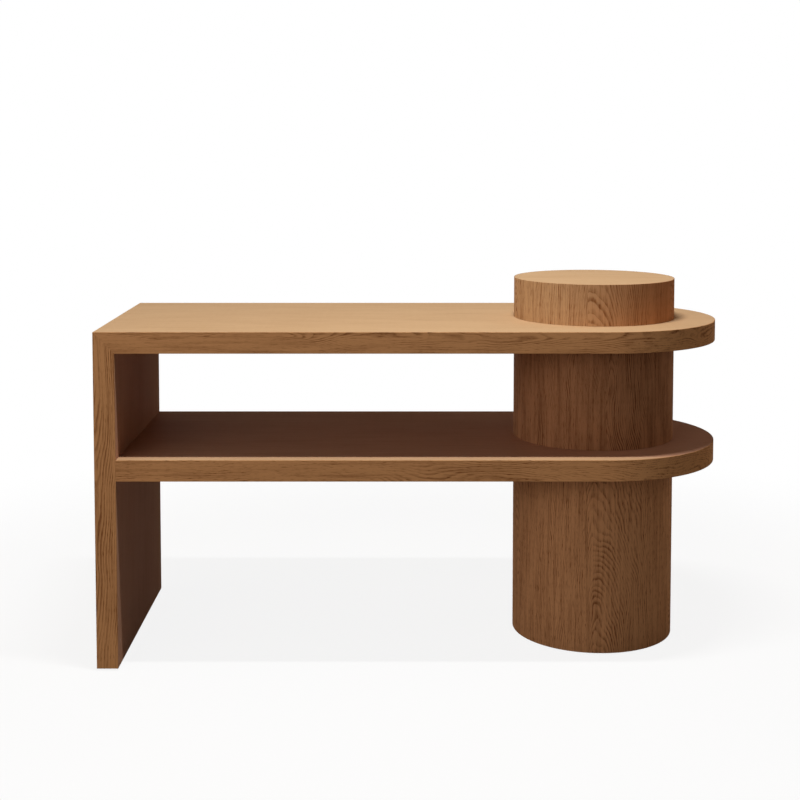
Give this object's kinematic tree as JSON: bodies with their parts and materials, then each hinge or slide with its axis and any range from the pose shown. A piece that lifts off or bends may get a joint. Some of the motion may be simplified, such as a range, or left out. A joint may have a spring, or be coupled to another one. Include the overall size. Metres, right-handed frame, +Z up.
{
  "type": "display table",
  "caption": "Oak-veneered display table with a round-nosed top and shelf, mitred to a gable at one end and threaded on a stack of drums at the other.",
  "frame": {"origin": "on the floor under the middle of the table, feet screwed right in", "axes": "+X along the table from the gable towards the drums, +Y from the front to the back, +Z up"},
  "size_m": [1.5, 0.6, 0.9],
  "materials": {
    "oak": "matt lacquered oak veneer",
    "core": "raw plywood",
    "beech": "raw beech",
    "steel": "zinc plated",
    "nylon": "moulded black nylon"
  },
  "bodies": {
    "table": {"top_lower_skin": "oak", "top_upper_skin": "oak", "top_edge_band": "oak", "shelf_lower_skin": "oak", "shelf_upper_skin": "oak", "shelf_edge_band": "oak", "gable_outer_skin": "oak", "gable_inner_skin": "oak", "gable_front_band": "oak", "gable_rear_band": "oak", "gable_bottom_band": "oak", "lower_drum_wrap": "oak", "middle_drum_wrap": "oak", "upper_drum_wrap": "oak", "upper_drum_lid": "oak", "top_core_frame": "core", "top_nose_former": "core", "shelf_core_frame": "core", "shelf_nose_former": "core", "gable_core_frame": "core", "lower_drum_shell": "core", "lower_drum_base_disc": "core", "lower_drum_top_disc": "core", "middle_drum_shell": "core", "middle_drum_base_disc": "core", "middle_drum_top_disc": "core", "upper_drum_shell": "core", "upper_drum_base_disc": "core", "mitre_tongue": "beech", "shelf_dowel_front": "beech", "shelf_dowel_rear": "beech", "shelf_cam_front": "steel", "shelf_cam_rear": "steel", "shelf_cam_bolt_front": "steel", "shelf_cam_bolt_rear": "steel", "tie_rod_1": "steel", "tie_rod_tee_nut_1": "steel", "tie_rod_flange_nut_1": "steel", "tie_rod_2": "steel", "tie_rod_tee_nut_2": "steel", "tie_rod_flange_nut_2": "steel", "tie_rod_3": "steel", "tie_rod_tee_nut_3": "steel", "tie_rod_flange_nut_3": "steel", "foot_insert_1": "steel", "foot_insert_2": "steel", "foot_insert_3": "steel", "foot_insert_4": "steel", "foot_insert_5": "steel"},
    "pad_1": {"foot_pad_1": "nylon"},
    "stem_1": {"foot_stem_1": "steel"},
    "pad_2": {"foot_pad_2": "nylon"},
    "stem_2": {"foot_stem_2": "steel"},
    "pad_3": {"foot_pad_3": "nylon"},
    "stem_3": {"foot_stem_3": "steel"},
    "pad_4": {"foot_pad_4": "nylon"},
    "stem_4": {"foot_stem_4": "steel"},
    "pad_5": {"foot_pad_5": "nylon"},
    "stem_5": {"foot_stem_5": "steel"}
  },
  "joints": [
    {"name": "foot_1_extend", "type": "slide", "parent": "table", "child": "pad_1", "axis": [0, 0, -1], "range_m": [0, 0.012]},
    {"name": "foot_1_turn", "type": "hinge", "parent": "pad_1", "child": "stem_1", "pos_m": [-0.725, -0.24, 0.02], "axis": [0, 0, -1], "range_deg": [0, 3456]},
    {"name": "foot_2_extend", "type": "slide", "parent": "table", "child": "pad_2", "axis": [0, 0, -1], "range_m": [0, 0.012]},
    {"name": "foot_2_turn", "type": "hinge", "parent": "pad_2", "child": "stem_2", "pos_m": [-0.725, 0.24, 0.02], "axis": [0, 0, -1], "range_deg": [0, 3456]},
    {"name": "foot_3_extend", "type": "slide", "parent": "table", "child": "pad_3", "axis": [0, 0, -1], "range_m": [0, 0.012]},
    {"name": "foot_3_turn", "type": "hinge", "parent": "pad_3", "child": "stem_3", "pos_m": [0.3, 0, 0.02], "axis": [0, 0, -1], "range_deg": [0, 3456]},
    {"name": "foot_4_extend", "type": "slide", "parent": "table", "child": "pad_4", "axis": [0, 0, -1], "range_m": [0, 0.012]},
    {"name": "foot_4_turn", "type": "hinge", "parent": "pad_4", "child": "stem_4", "pos_m": [0.525, -0.1299, 0.02], "axis": [0, 0, -1], "range_deg": [0, 3456]},
    {"name": "foot_5_extend", "type": "slide", "parent": "table", "child": "pad_5", "axis": [0, 0, -1], "range_m": [0, 0.012]},
    {"name": "foot_5_turn", "type": "hinge", "parent": "pad_5", "child": "stem_5", "pos_m": [0.525, 0.1299, 0.02], "axis": [0, 0, -1], "range_deg": [0, 3456]}
  ],
  "couplings": [
    {"joint": "foot_1_extend", "follows": "foot_1_turn", "m_per_rad": 0.00019894},
    {"joint": "foot_2_extend", "follows": "foot_2_turn", "m_per_rad": 0.00019894},
    {"joint": "foot_3_extend", "follows": "foot_3_turn", "m_per_rad": 0.00019894},
    {"joint": "foot_4_extend", "follows": "foot_4_turn", "m_per_rad": 0.00019894},
    {"joint": "foot_5_extend", "follows": "foot_5_turn", "m_per_rad": 0.00019894}
  ]
}
